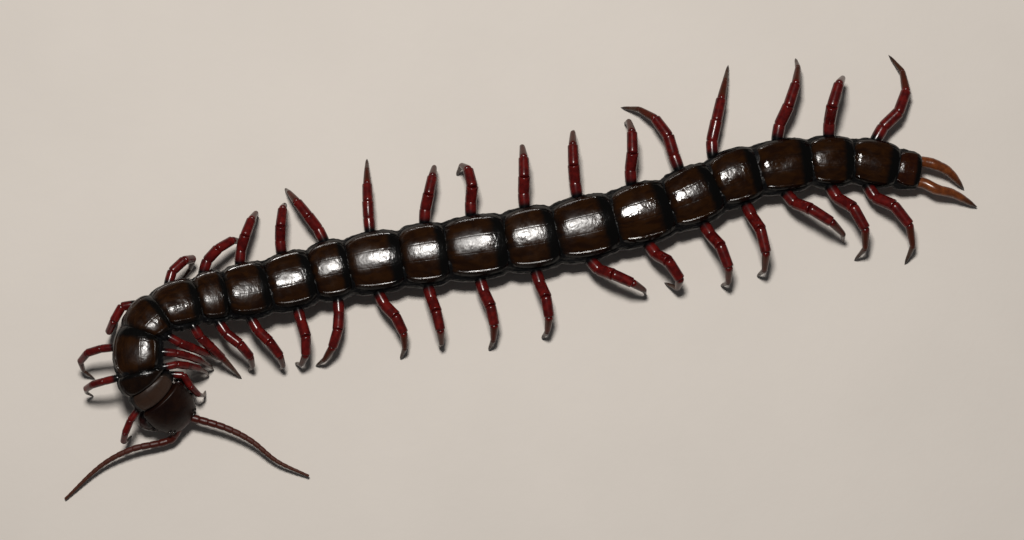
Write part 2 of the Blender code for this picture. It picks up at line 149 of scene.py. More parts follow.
# Back plate as modelled once: rows along it, then columns from its middle to its rim
PLATE_LENGTH = 9.5
PLATE_HALF = 5.2
PLATE_ROWS = (  # (share of the length, share of the half width, height, share of the relief)
    (-0.08, 0.74, -0.85, 0), (0, 0.76, -0.72, 0), (0.035, 0.79, -0.58, 0.2),
    (0.075, 0.83, -0.36, 0.6), (0.12, 0.875, -0.18, 1), (0.20, 0.93, -0.06, 1),
    (0.34, 0.98, 0, 1), (0.52, 1, 0.03, 1), (0.68, 1, 0.03, 1), (0.79, 0.98, 0, 1),
    (0.865, 0.945, -0.08, 0.7), (0.925, 0.895, -0.18, 0.4), (0.975, 0.83, -0.29, 0.1),
    (1.01, 0.77, -0.38, 0),
)
SUTURE = 0.285
PLATE_COLUMNS = (  # (share of the half width, relief)
    (0, 0), (0.09, 0), (0.18, 0), (0.25, 0), (0.276, 0), (SUTURE, -0.02), (0.294, -0.005),
    (0.35, 0), (0.48, 0), (0.62, 0), (0.74, 0), (0.80, -0.02), (0.838, -0.12), (0.862, 0.06),
    (0.885, 0.06), (0.93, -0.06), (1, -0.16),
)
PLATE_THICKNESS = 0.2

# Skin, as shares of half width and half height from the middle of the back to that of the belly
SKIN_OUTLINE = (
    (0, 0.82), (0.3, 0.81), (0.6, 0.68), (0.82, 0.44), (0.93, 0.28), (0.98, 0.2), (1.01, 0.12),
    (1.06, 0.10), (1.07, 0.02), (1.12, -0.02), (1.11, -0.12), (1.14, -0.2), (1.11, -0.3),
    (1.12, -0.4), (1.07, -0.48), (1.05, -0.6), (0.97, -0.68), (0.93, -0.79), (0.8, -0.85),
    (0.64, -0.92), (0.35, -0.95), (0, -0.95),
)
SKIN_FULL_LEFT = 0.98
SKIN_FULL_RIGHT = 0.95
SKIN_ROWS = ((0, 0.88), (0.05, 0.93), (0.11, 0.94), (0.17, 0.985), (0.25, 0.985), (0.34, 1.015),
             (0.44, 1.005), (0.54, 1.02), (0.64, 1), (0.74, 1.005), (0.82, 0.965), (0.89, 0.96),
             (0.95, 0.915))
SKIN_FOLDS = ((2.0, 2.2), (0.8, 1.0))  # (width of a fold, share of the fold depth)

# Belly plate as modelled once
BELLY_LENGTH = 8.0
BELLY_HALF = 3.4
BELLY_ROWS = ((0.05, 0.80, 0.12, 0.3), (0.10, 0.88, 0.03, 1), (0.25, 0.97, 0, 1), (0.5, 1, 0, 1),
              (0.75, 0.97, 0, 1), (0.92, 0.86, 0.02, 1), (0.97, 0.78, 0.12, 0.3))
BELLY_COLUMNS = ((0, 0), (0.2, 0), (0.33, 0.01), (0.36, 0.08), (0.39, 0.01), (0.6, 0),
                 (0.8, 0.03), (0.92, 0.1), (1, 0.28))

# Head plate: half its outline from the middle of the back, its stations, and a furrow's points
HEAD_OUTLINE = ((0, 1), (0.12, 0.995), (0.28, 0.975), (0.45, 0.93), (0.62, 0.85), (0.77, 0.74),
                (0.88, 0.62), (0.95, 0.52), (1, 0.42), (1, 0.34), (0.96, 0.26), (0.9, 0.1),
                (0.8, -0.1), (0.5, -0.16), (0.25, -0.16), (0, -0.16))
HEAD_UPPER = 9  # how many points of the outline lie on its back
HEAD_STATIONS = (0, 0.03, 0.08, 0.16, 0.27, 0.4, 0.52, 0.64, 0.75, 0.84, 0.91, 0.96, 0.99, 1.005)
HEAD_FURROW = ((7.7, 0.10), (7.3, 0.10), (6.7, 0.08), (6.0, 0.05))
HEAD_FRONT = (6.2, 8.0)
BROW_START = 0.95
BROW_DROP = 7.0
END_SIZE = 0.9
EYE_RADIUS = 0.26
EYE_FLATNESS = 0.8

# Plate that carries the poison claws, with its two toothed lobes
CLAW_PLATE_OUTLINE = ((0, -0.85), (0.4, -0.85), (0.75, -0.95), (0.95, -1.2), (1, -1.7),
                      (0.95, -2.3), (0.8, -2.7), (0.5, -2.95), (0.2, -3), (0, -2.95))
CLAW_PLATE_ROWS = ((0.15, 3.0, 0.85, -0.2), (0.4, 3.35, 0.97, 0), (1.2, 3.5, 1, 0),
                   (2.2, 3.4, 1, 0), (3.0, 3.1, 0.98, 0), (3.5, 2.6, 0.95, -0.05),
                   (3.75, 2.2, 0.85, -0.15))
CLAW_PLATE_DARKENS = (3.9, 4.9)
TOOTH_LOBE = ((-0.6, 0.5), (0, 0.55), (0.5, 0.45), (0.62, 0.3))
LOBE_FRONT = 3.8
LOBE_ACROSS = 0.75
LOBE_SCALE = (1, 1.1, 0.6, 1)
TOOTH = ((-0.2, 0.12), (0.1, 0.1), (0.3, 0.03))
TEETH_FRONT = 4.3
TEETH_ACROSS = (0.35, 0.62, 0.89, 1.16)
TEETH_HEIGHT = -2.3

# Links of a leg and other drawn-out pieces, as (share of the length, share of the girth)
COXA = ((0, 0.8), (0.2, 0.94), (0.5, 1), (0.8, 1.01), (0.94, 1), (1, 0.95), (1.04, 0.75))
THIGH = ((-0.08, 0.5), (-0.05, 0.8), (0, 0.95), (0.06, 0.98), (0.3, 1), (0.6, 0.99),
         (0.85, 1), (0.95, 1.02), (0.99, 0.98), (1.01, 0.9), (1, 0.7))
SHANK = ((-0.08, 0.5), (-0.05, 0.8), (0, 0.96), (0.06, 1), (0.3, 1), (0.6, 0.97),
         (0.85, 0.94), (0.95, 0.95), (0.99, 0.9), (1.01, 0.8), (1, 0.6))
TARSUS = ((-0.08, 0.5), (-0.04, 0.8), (0.02, 0.97), (0.1, 1), (0.4, 0.91), (0.7, 0.79),
          (0.9, 0.7), (0.98, 0.67), (1.01, 0.58), (1, 0.4))
ANKLE = ((-0.12, 0.4), (-0.06, 0.8), (0.02, 1), (0.1, 1.02), (0.4, 0.94), (0.7, 0.83),
         (0.9, 0.75), (1, 0.7), (1.03, 0.6), (1.02, 0.4))
CLAW = ((-0.08, 0.5), (0, 0.9), (0.08, 1), (0.25, 0.82), (0.5, 0.55), (0.75, 0.3), (1, 0.06))
BEAD = ((-0.06, 0.7), (0, 0.9), (0.1, 0.96), (0.35, 1), (0.65, 1.01), (0.88, 0.99), (1, 0.93),
        (1.03, 0.7))
LAST_LEG = ((-0.03, 0.7), (0, 0.86), (0.04, 0.98), (0.14, 1), (0.3, 0.97), (0.355, 0.93),
            (0.37, 0.86), (0.385, 0.89), (0.47, 0.88), (0.56, 0.82), (0.575, 0.75), (0.59, 0.77),
            (0.68, 0.72), (0.75, 0.64), (0.765, 0.57), (0.78, 0.58), (0.85, 0.48), (0.9, 0.38),
            (0.91, 0.32), (0.95, 0.22), (1, 0.05))

# Walking leg from the body out, as (shape of a link, share of the leg's girth)
LEG_CHAIN = ((COXA, 1), (THIGH, 1), (SHANK, 0.92), (TARSUS, 0.70), (ANKLE, 0.44), (ANKLE, 0.31),
             (CLAW, 0.21))
COXA_LEAN = 0.6
COXA_DEPTH = 2.4
THIGH_START = 0.24
ANKLE_STOPS = (0.5, 0.8)

# Hip swelling and poison claw in mm: (distance, radius)
HIP_SWELLING = ((-0.6, 0.5), (0, 1), (1, 1.25), (2.2, 1.25), (3.3, 1.05), (4.2, 0.75), (4.7, 0.3))
HIP_SWELLING_PLACE = (2.05, -0.5)
POISON_CLAW = ((0, 0.9), (0.4, 1.1), (0.9, 1.18), (1.6, 1.2), (2.6, 1.16), (3.2, 1.06),
               (3.45, 0.94), (3.55, 0.92), (3.7, 1), (4.2, 0.98), (4.55, 0.84), (4.65, 0.8),
               (4.8, 0.86), (5.3, 0.8), (5.55, 0.66), (5.7, 0.62), (6.2, 0.55), (6.9, 0.42),
               (7.6, 0.28), (8.2, 0.14), (8.5, 0.04))
POISON_CLAW_LENGTH = 8.5

# Stage, in metres and watts
LAMP_PLACE = (-0.035, 0.11, 0.50)
LAMP_AIM = (-0.01, 0, 0)
LAMP_SIZE = 0.08
LAMP_POWER = 2.4
SKY_STRENGTH = 0.06
CAMERA_TARGET = (-0.0021, -0.0003, 0.008)
CAMERA_DISTANCE = 0.498
CAMERA_TILT = math.radians(8)


def between(table, key):
    """A value read from a table of a few keys, with straight changes between them."""
    keys = sorted(table)
    return float(np.interp(key, keys, [table[k] for k in keys]))


def headings(points):
    """Direction of travel at each of a few points on a smooth path."""
    last = len(points) - 1
    return [(points[min(i + 1, last)] - points[max(i - 1, 0)]).normalized()
            for i in range(last + 1)]


def smooth_path(points, steps):
    """Points along one smooth curve through the given ones."""
    ways = headings(points)
    path = [points[0]]
    for i, (start, end) in enumerate(zip(points, points[1:])):
        third = (end - start).length / 3
        path += interpolate_bezier(start, start + ways[i] * third, end - ways[i + 1] * third,
                                   end, steps + 1)[1:]
    return path


class Body:
    """The body's axis, read by the distance from the tip of the head."""

    def __init__(self, points):
        self.path = smooth_path(points, AXIS_STEPS)
        self.distances = [0.0]
        for start, end in zip(self.path, self.path[1:]):
            self.distances.append(self.distances[-1] + (end - start).length)

    def point(self, distance):
        for i in range(1, len(self.path)):
            if distance <= self.distances[i]:
                break
        span = self.distances[i] - self.distances[i - 1]
        return self.path[i - 1].lerp(self.path[i], (distance - self.distances[i - 1]) / span)

    def level_frame(self, distance, reach=0.4):
        """Forward, level left and up as a matrix's columns, placed on the axis."""
        forward = (self.point(distance - reach) - self.point(distance + reach)).normalized()
        left = Vector((0, 0, 1)).cross(forward).normalized()
        matrix = Matrix((forward, left, forward.cross(left))).transposed().to_4x4()
        matrix.translation = self.point(distance)
        return matrix

    def frame(self, distance):
        """The level frame, with the roll of the back about its forward axis."""
        steps = np.interp(distance, self.distances, range(len(self.path)))
        roll = np.interp(steps / AXIS_STEPS, range(len(AXIS_ROLLS)), AXIS_ROLLS)
        return self.level_frame(distance) @ Matrix.Rotation(math.radians(roll), 4, "X")


AXIS_KEYS = [Vector(p) for p in AXIS_POINTS]
BODY = Body(AXIS_KEYS)
NECK = BODY.distances[AXIS_STEPS]
NECK_FRAME = BODY.frame(NECK)


def plate_width(segment):
    """Width of a segment's back plate; a fraction lies between two segments."""
    return between(PLATE_WIDTHS, segment)


def segment_start(segment):
    """Distance from the tip of the head at which a segment's back plate starts."""
    return NECK + sum(PLATE_LENGTHS[:segment - 1])


def plate_height(across):
    """Height of a back plate at a share of its half width."""
    return PLATE_HALF * HEIGHT_TO_WIDTH * (1 - PLATE_CROWN * abs(across) ** PLATE_FALLOFF)


def head_half_width(share):
    """Half width of the head at a share of its length from the neck."""
    away = abs(share - HEAD_WIDEST) / HEAD_ROUNDING
    return HEAD_HALF_WIDTH * math.sqrt(max(0, 1 - away ** HEAD_SQUARENESS))


def head_top(share):
    """Height of the head's middle at a share of its length from the neck."""
    return HEAD_TOP + HEAD_DOME * math.sin(math.pi * min(share, 1)) - HEAD_DROP * share ** 4


def path_length(points):
    """Length of the smooth curve through a few points."""
    path = smooth_path(points, 8)
    return sum((end - start).length for start, end in zip(path, path[1:]))


def arched_chain(lengths, span):
    """Joints of a chain of links as (along, height), bent one way so its ends are a span apart."""
    low, high = 0.0, math.pi * 1.5
    for _ in range(BEND_STEPS):
        curl = (low + high) / 2
        heading = 0.0
        joints = [Vector((0.0, 0.0))]
        for length, share in zip(lengths, LEG_BENDS):
            heading -= share * curl
            joints.append(joints[-1] + length * Vector((math.cos(heading), math.sin(heading))))
        if joints[-1].length > span:
            low = curl
        else:
            high = curl
    turn = Matrix.Rotation(-math.atan2(joints[-1].y, joints[-1].x), 2)
    return [turn @ joint for joint in joints]


def leg_joints(segment, side, pose):
    """Places of a leg's root, hip, three joints, ankle and foot."""
    swing, reach, lean = math.radians(pose[0]), pose[1], math.radians(pose[2])
    back = between(LEG_PLACES["left" if side > 0 else "right"], segment)
    distance = segment_start(segment) + PLATE_LENGTHS[segment - 1] * back
    width = plate_width(segment)
    outward = BODY.level_frame(distance).to_3x3() @ Vector((0, side, 0))
    backward = Vector((0, 0, 1)).cross(outward) * side
    root = BODY.frame(distance) @ Vector((0, side * (FLANK_WIDTH * width / 2 + ROOT_GAP),
                                          HIP_HEIGHT * width * HEIGHT_TO_WIDTH / 2))
    hip = root + outward * HIP_LENGTH
    way = outward * math.cos(swing) + backward * math.sin(swing)
    foot = Vector((hip.x, hip.y, 0)) + way * reach
    ankle = foot + Vector((0, 0, FOOT_HEIGHT))
    along = (ankle - hip).normalized()
    across = along.cross(Vector((0, 0, 1))).normalized()
    across *= 1 if across.dot(backward) > 0 else -1
    rise = across.cross(along)
    rise *= 1 if rise.z > 0 else -1
    rise = rise * math.cos(lean) + across * math.sin(lean)
    links = [between(LEG_LENGTHS, segment) * share for share in LEG_LINKS]
    chain = arched_chain(links, (ankle - hip).length)
    return [root] + [hip + along * a + rise * h for a, h in chain] + [foot]


# Modelling, with Blender's own operators

def clear_selection():
    """Object mode with nothing selected."""
    if bpy.context.mode != "OBJECT":
        bpy.ops.object.mode_set(mode="OBJECT")
    bpy.ops.object.select_all(action="DESELECT")


def take(piece):
    """Makes a piece the only selected one."""
    clear_selection()
    piece.select_set(True)
    bpy.context.view_layer.objects.active = piece


def edit(piece):
    """Opens a piece for shaping by its points."""
    take(piece)
    bpy.ops.object.mode_set(mode="EDIT")
    bpy.ops.mesh.select_mode(type="VERT")


def opened(name):
    """Names the primitive just added, sets its place in its mesh and opens it."""
    piece = bpy.context.object
    piece.name = name
    bpy.ops.object.transform_apply(location=True, rotation=True, scale=True)
    edit(piece)
    return piece


def pick(piece, test):
    """Selects the points of the open piece whose place passes a test."""
    shape = bmesh.from_edit_mesh(piece.data)
    for part in (*shape.faces, *shape.edges):
        part.select = False
    for vertex in shape.verts:
        vertex.select = test(vertex.co / MM)
    shape.select_flush(True)
    bmesh.update_edit_mesh(piece.data)


def shift(x=0.0, y=0.0, z=0.0):
    """Moves what is selected."""
    bpy.ops.transform.translate(value=(x * MM, y * MM, z * MM))


def stretch(x=1.0, y=1.0, z=1.0, centre=(0.0, 0.0, 0.0)):
    """Scales what is selected about a centre."""
    bpy.ops.transform.resize(value=(x, y, z), center_override=[c * MM for c in centre])


def close(piece):
    """Faces out, and back to object mode."""
    bpy.ops.mesh.select_all(action="SELECT")
    bpy.ops.mesh.normals_make_consistent(inside=False)
    clear_selection()


def apply(piece, kind, **settings):
    """Adds a modifier to a piece and applies it."""
    take(piece)
    modifier = piece.modifiers.new(kind.lower(), kind)
    for name, value in settings.items():
        setattr(modifier, name, value)
    bpy.ops.object.modifier_apply(modifier=modifier.name)


def subdivide(piece, levels=1):
    """Rounds a piece by subdivision."""
    apply(piece, "SUBSURF", levels=levels, render_levels=levels)


def drawn_out(name, outline, rows):
    """A closed body drawn out along x. Each row is (x, y scale, z scale, z shift)."""
    x, across, high, lift = rows[0]
    clear_selection()
    bpy.ops.mesh.primitive_circle_add(vertices=len(outline), radius=MM, fill_type="NGON",
                                      location=(x * MM, 0, 0), rotation=(0, math.pi / 2, 0))
    piece = opened(name)
    shape = bmesh.from_edit_mesh(piece.data)
    spots = [vertex.co / MM for vertex in shape.verts]
    centre = sum(spots, Vector()) / len(spots)
    order = sorted(range(len(spots)),
                   key=lambda i: math.atan2(spots[i].y - centre.y, spots[i].z - centre.z) % math.tau)
    for i, (y, z) in zip(order, outline):
        shape = bmesh.from_edit_mesh(piece.data)
        for k, vertex in enumerate(shape.verts):
            vertex.select = k == i
        shape.select_flush(True)
        bmesh.update_edit_mesh(piece.data)
        shift(0, y - spots[i].y, z - spots[i].z)
    bpy.ops.mesh.select_all(action="SELECT")
    stretch(1, across, high, (x, 0, 0))
    shift(0, 0, lift)
    for next_x, next_across, next_high, next_lift in rows[1:]:
        bpy.ops.mesh.extrude_region_move(
            TRANSFORM_OT_translate={"value": ((next_x - x) * MM, 0, (next_lift - lift) * MM)})
        stretch(1, next_across / across, next_high / high, (next_x, 0, next_lift))
        x, across, high, lift = next_x, next_across, next_high, next_lift
    close(piece)
    return piece


def rod(name, sides, rows):
    """A round closed body from (x, radius) rows."""
    outline = [(math.sin(math.tau * i / sides), math.cos(math.tau * i / sides))
               for i in range(sides)]
    return drawn_out(name, outline, [(x, r, r, 0.0) for x, r in rows])


def both_sides(half):
    """A whole ring from the points of one half, middle to middle."""
    return list(half) + [(-y, z) for y, z in reversed(half[1:-1])]


def shaped_sheet(name, length, half_width, rows, columns, height):
    """A sheet from rows (share of length, of width, height, of relief) and columns (share, relief).

    Its rows wait well away from where they go, so that each can be picked by its place.
    """
    aside = 200.0
    last_row, last_column = len(rows) - 1, len(columns) - 1
    clear_selection()
    bpy.ops.mesh.primitive_grid_add(x_subdivisions=last_row, y_subdivisions=2 * last_column,
                                    size=2 * MM, location=(aside * MM, 0, 0))
    piece = opened(name)

    def pick_column(i):
        pick(piece, lambda p: abs(abs(p.y) - i / last_column) < 0.4 / last_column)

    def pick_rows():
        for i, row in enumerate(rows):
            x = aside - 1 + 2 * i / last_row
            pick(piece, lambda p: abs(p.x - x) < 0.8 / last_row)
            yield x, *row

    for i, (share, relief) in enumerate(columns):
        pick_column(i)
        shift(0, 0, relief)
    for _, _, _, _, relief in pick_rows():
        stretch(1, 1, relief)
    for i in range(last_column, -1, -1):
        pick_column(i)
        if i:
            stretch(1, columns[i][0] * half_width * last_column / i, 1)
        shift(0, 0, height(columns[i][0]))
    for x, share, wide, lift, _ in pick_rows():
        stretch(1, wide, 1)
        shift(share * length - x, 0, lift)
    close(piece)
    return piece


def copy_of(piece, name):
    """A copy with a mesh of its own."""
    other = piece.copy()
    other.data = piece.data.copy()
    other.name = name
    bpy.context.scene.collection.objects.link(other)
    return other


def joined(name, pieces):
    """Several pieces as one object."""
    clear_selection()
    for piece in pieces:
        piece.select_set(True)
    bpy.context.view_layer.objects.active = pieces[0]
    bpy.ops.object.join()
    pieces[0].name = name
    pieces[0].data.name = name
    return pieces[0]


def discard(*pieces):
    """Removes helper pieces."""
    for piece in pieces:
        bpy.data.objects.remove(piece)


def places(piece):
    """Every point of a piece."""
    flat = np.empty(len(piece.data.vertices) * 3, np.float32)
    piece.data.vertices.foreach_get("co", flat)
    return flat.reshape(-1, 3) / MM


def mark(piece, name, values):
    """Gives each point a number that its material can read."""
    layer = piece.data.attributes.get(name)
    if layer is None:
        layer = piece.data.attributes.new(name, "FLOAT", "POINT")
    layer.data.foreach_set("value", np.broadcast_to(values, len(piece.data.vertices)).astype(np.float32))


def place(piece, matrix):
    """Sets a piece's mesh where a matrix says."""
    piece.data.transform(TO_METRES @ matrix @ TO_METRES.inverted())


def guide(points, rolls=None):
    """A smooth guide curve through a few points, with a roll in degrees at each."""
    curve = bpy.data.curves.new("guide", "CURVE")
    curve.dimensions = "3D"
    curve.twist_mode = "Z_UP"
    curve.resolution_u = AXIS_STEPS
    spline = curve.splines.new("BEZIER")
    spline.bezier_points.add(len(points) - 1)
    ways = headings(points)
    last = len(points) - 1
    for i, knot in enumerate(spline.bezier_points):
        knot.handle_left_type = knot.handle_right_type = "FREE"
        before = (points[i] - points[max(i - 1, 0)]).length / 3
        after = (points[min(i + 1, last)] - points[i]).length / 3
        knot.co = points[i] * MM
        knot.handle_left = (points[i] - ways[i] * before) * MM
        knot.handle_right = (points[i] + ways[i] * after) * MM
        if rolls:
            knot.tilt = -math.radians(rolls[i])
    holder = bpy.data.objects.new("guide", curve)
    bpy.context.scene.collection.objects.link(holder)
    return holder


def bend(piece, points=AXIS_KEYS, rolls=None):
    """Bends a straight piece along the smooth curve through a few points."""
    curve = guide(points, rolls)
    apply(piece, "CURVE", object=curve, deform_axis="POS_X")
    discard(curve)


def finish_piece(piece, material, nodes=(), crease=35):
    """Gives a piece its material and shading, and sets it on the model."""
    piece.data.materials.clear()
    piece.data.materials.append(material)
    take(piece)
    bpy.ops.object.shade_smooth_by_angle(angle=math.radians(crease))
    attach(piece, "root")
    if nodes:
        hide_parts(*nodes)


# Materials

class Wire:
    """A node's output, on which sums can be written."""

    def __init__(self, paint, socket):
        self.paint = paint
        self.socket = socket

    def sum(self, operation, first, second=0.0):
        node = self.paint.node("ShaderNodeMath", {"operation": operation}, {0: first, 1: second})
        return Wire(self.paint, node.outputs[0])

    def __add__(self, other):
        return self.sum("ADD", self, other)

    def __radd__(self, other):
        return self.sum("ADD", other, self)

    def __sub__(self, other):
        return self.sum("SUBTRACT", self, other)

    def __rsub__(self, other):
        return self.sum("SUBTRACT", other, self)

    def __mul__(self, other):
        return self.sum("MULTIPLY", self, other)

    def __rmul__(self, other):
        return self.sum("MULTIPLY", other, self)

    def size(self):
        return self.sum("ABSOLUTE", self)

    def rise(self, low, high):
        """Goes smoothly from 0 at low to 1 at high."""
        node = self.paint.node("ShaderNodeMapRange", {"interpolation_type": "SMOOTHSTEP"},
                               {"Value": self, "From Min": low, "From Max": high})
        return Wire(self.paint, node.outputs["Result"])


class Paint:
    """A material that is built by writing it down."""

    def __init__(self, name, specular=0.5):
        self.material = bpy.data.materials.new(name)
        self.material.use_nodes = True
        self.tree = self.material.node_tree
        self.shader = self.tree.nodes["Principled BSDF"]
        self.shader.inputs["Specular IOR Level"].default_value = specular

    def node(self, kind, settings=None, values=None):
        """Makes any node from its type, its settings and the values or links of its sockets."""
        node = self.tree.nodes.new(kind)
        for name, value in (settings or {}).items():
            setattr(node, name, value)
        for name, value in (values or {}).items():
            self.put(node.inputs[name], value)
        return node

    def put(self, socket, value):
        if isinstance(value, Wire):
            self.tree.links.new(value.socket, socket)
        elif hasattr(socket.default_value, "__len__") and len(socket.default_value) == 4:
            socket.default_value = (*value[:3], 1.0)
        else:
            socket.default_value = value

    def mark(self, name):
        """A number that the piece's points carry."""
        node = self.node("ShaderNodeAttribute", {"attribute_name": name})
        return Wire(self, node.outputs["Fac"])

    def spot(self):
        """Where a point lies on the object."""
        return Wire(self, self.node("ShaderNodeTexCoord").outputs["Object"])

    def vector(self, x, y, z):
        node = self.node("ShaderNodeCombineXYZ", None, {"X": x, "Y": y, "Z": z})
        return Wire(self, node.outputs["Vector"])

    def noise(self, scale, detail=3.0, roughness=0.5, where=None, distortion=0.0):
        node = self.node("ShaderNodeTexNoise", None, {
            "Vector": where or self.spot(), "Scale": scale, "Detail": detail,
            "Roughness": roughness, "Distortion": distortion})
        return Wire(self, node.outputs["Fac"])

    def clouds(self, scale, low=0.3, high=0.7):
        """Soft patches that go from 0 to 1."""
        return self.noise(scale, 4.0, 0.6).rise(low, high)

    def cells(self, scale):
        """How far a point is from the edge of its cell."""
        node = self.node("ShaderNodeTexVoronoi", {"feature": "DISTANCE_TO_EDGE"},
                         {"Vector": self.spot(), "Scale": scale})
        return Wire(self, node.outputs["Distance"])

    def mix(self, share, first, second):
        """A colour between two."""
        node = self.node("ShaderNodeMix", {"data_type": "RGBA"}, {0: share, 6: first, 7: second})
        return Wire(self, node.outputs[2])

    def bump(self, height, distance, strength, over=None):
        """Relief in mm from a height between 0 and 1, over another relief."""
        values = {"Height": height, "Distance": distance * MM, "Strength": strength}
        if over:
            values["Normal"] = over
        return Wire(self, self.node("ShaderNodeBump", None, values).outputs["Normal"])

    def finish(self, colour, roughness, relief=None):
        """Sets what the surface shows, and gives the material."""
        self.put(self.shader.inputs["Base Color"], colour)
        self.put(self.shader.inputs["Roughness"], roughness)
        if relief:
            self.put(self.shader.inputs["Normal"], relief)
        return self.material


def colours():
    return bpy.context.scene.centipede_colours


def sizes():
    return bpy.context.scene.centipede_sizes


def made(name, build):
    """A material by name, made once."""
    return bpy.data.materials.get(name) or build(name)


def shell_material(name):
    """Glossy back plate: marbled brown, black at its back edge and along its rims, with painted shade at
    its front where it lies under the plate before.
    """
    paint, palette = Paint(name, 0.33), colours()
    along, side, order = paint.mark("along"), paint.mark("across"), paint.mark("order")
    across = side.size()
    own = order * 3.7
    where = paint.vector(along * 9.0, side * 5.2, own)
    marbling = paint.noise(0.8, 3.5, 0.55, paint.vector(along * 4.6, side * 5.2, own), 0.6)
    colour = paint.mix(marbling.rise(0.34, 0.68), palette.shell_deep, palette.shell_warm)
    first = 1.0 - order.rise(1.2, 1.8)
    second = order.rise(1.2, 1.8) - order.rise(2.2, 2.8)
    colour = paint.mix(second * 0.6, colour, palette.shell_band)
    colour = paint.mix(first, colour, palette.shell_first)
    colour = paint.mix(order.rise(20.2, 20.8) * 0.12, colour, palette.leg_deep)
    ragged = along + (paint.noise(0.8, 4.0, 0.6, where) - 0.5) * 0.12
    band = ragged.rise(0.72, 0.86) * (1.0 - first * 0.7)
    # painted shade: each plate darkens at its front, where it lies under the back edge of the plate
    # before
    front = (1.0 - ragged.rise(0.0, 0.13)) * 0.85
    rim = across.rise(0.85, 0.93) * 0.85
    suture = (1.0 - (across - SUTURE).size().rise(0.004, 0.02)) * 0.4
    for dark in (band, front, rim, suture):
        colour = paint.mix(dark, colour, palette.shell_band)
    fine = paint.noise(3.2, 6.0, 0.6, where)
    dull = paint.noise(0.24, 4.0, 0.62, where).rise(0.36, 0.62)
    dull = dull * (1.0 - along.rise(0.45, 0.8) * 0.7)
    rough = 0.10 + fine * 0.10 + dull * 0.16 + first * 0.25 - order.rise(12.5, 15.5) * 0.08
    creases = paint.noise(1.3, 3.0, 0.55, paint.vector(along * 16.0, side * 3.2, own), 0.6)
    crumpled = 0.4 + along.rise(0.5, 0.9) * 0.7 + (1.0 - along.rise(0.05, 0.25)) * 0.9
    relief = paint.bump(paint.noise(0.6, 2.0, 0.5, where), 0.12, 0.6)
    relief = paint.bump(creases * crumpled, 0.06, 0.7, relief)
    return paint.finish(colour, rough, paint.bump(fine, 0.006, 0.6, relief))


def skin_material(name):
    """Leathery blue-black skin between the plates."""
    paint, palette = Paint(name, 0.2), colours()
    colour = paint.mix(paint.clouds(420.0, 0.35), palette.skin_dark, palette.skin_light)
    grain = paint.noise(5200.0, 4.0, 0.6)
    relief = paint.bump(paint.cells(1500.0), 0.10, 0.8)
    relief = paint.bump(paint.noise(900.0, 4.0, 0.6), 0.3, 0.8, relief)
    return paint.finish(colour, 0.26 + grain * 0.2, paint.bump(grain, 0.015, 0.6, relief))


def belly_material(name):
    """Belly plate: satin brown, lighter than the back."""
    paint, palette = Paint(name), colours()
    colour = paint.mix(paint.clouds(300.0), palette.belly, palette.shell_warm)
    edge = paint.mark("across").size().rise(0.75, 1.0)
    colour = paint.mix(edge * 0.6, colour, palette.shell_band)
    return paint.finish(colour, 0.2 + paint.noise(1500.0) * 0.2,
                        paint.bump(paint.noise(1400.0, 4.0), 0.05, 0.6))


def leg_material(name):
    """Glossy leg: deep red links, brown towards the foot, with a near-black claw, and painted shade at
    its root where it leaves the body.
    """
    paint, palette = Paint(name, 0.35), colours()
    reach, link = paint.mark("reach"), paint.mark("link")
    colour = paint.mix(paint.clouds(900.0, 0.35), palette.leg_deep, palette.leg_red)
    brown = reach.rise(0.425, 0.46) * 0.65 + reach.rise(0.54, 0.62) * 0.35
    colour = paint.mix(brown, colour, palette.leg_brown)
    colour = paint.mix(reach.rise(0.68, 0.9), colour, palette.claw_dark)
    collar = (1.0 - link.rise(0.0, 0.06)) + link.rise(0.94, 1.0)
    colour = paint.mix(collar * 0.35, colour, palette.leg_deep)
    # painted shade: the leg darkens to the dark side skin's colour where it leaves the body
    colour = paint.mix(1.0 - reach.rise(0.04, 0.09), colour, palette.skin_dark)
    fine = paint.noise(3800.0, 5.0, 0.6)
    relief = paint.bump(paint.noise(1500.0), 0.03, 0.5)
    return paint.finish(colour, 0.15 + fine * 0.14 + reach.rise(0.5, 0.8) * 0.15,
                        paint.bump(fine, 0.004, 0.6, relief))


def tail_leg_material(name):
    """Last legs: translucent-looking orange-brown with dark tips."""
    paint, palette = Paint(name), colours()
    reach = paint.mark("reach")
    colour = paint.mix(paint.clouds(800.0), palette.tail_deep, palette.tail_orange)
    colour = paint.mix(reach.rise(0.6, 0.95), colour, palette.leg_brown)
    colour = paint.mix(reach.rise(0.9, 1.0), colour, palette.claw_dark)
    return paint.finish(colour, 0.18 + paint.noise(3000.0) * 0.15,
                        paint.bump(paint.noise(1800.0, 4.0), 0.05, 0.5))


def head_material(name):
    """Satin dark brown head plate with a faint net of fine pits."""
    paint, palette = Paint(name, 0.2), colours()
    clouds = paint.noise(420.0, 5.0, 0.6, None, 0.5).rise(0.35, 0.68)
    colour = paint.mix(clouds, palette.head_deep, palette.head_warm)
    colour = paint.mix(paint.mark("front") * 0.6, colour, palette.leg_deep)
    fine = paint.noise(4200.0, 5.0, 0.6)
    relief = paint.bump(paint.noise(1100.0), 0.12, 0.5)
    return paint.finish(colour, 0.26 + fine * 0.2, paint.bump(fine, 0.02, 0.6, relief))


def poison_claw_material(name):
    """Poison claw: its own dark red-brown, darkened further as painted shade under the head, black and
    polished at the tip.
    """
    paint, palette = Paint(name), colours()
    reach = paint.mark("reach")
    # painted shade: most of the claw's red gives way to the head's deep brown, for the shade under the
    # head
    colour = paint.mix(paint.clouds(700.0) * 0.4, palette.head_deep, palette.leg_deep)
    colour = paint.mix(reach.rise(0.55, 0.8), colour, palette.claw_black)
    return paint.finish(colour, 0.24 - reach.rise(0.5, 0.8) * 0.12,
                        paint.bump(paint.noise(1500.0, 4.0), 0.06, 0.5))


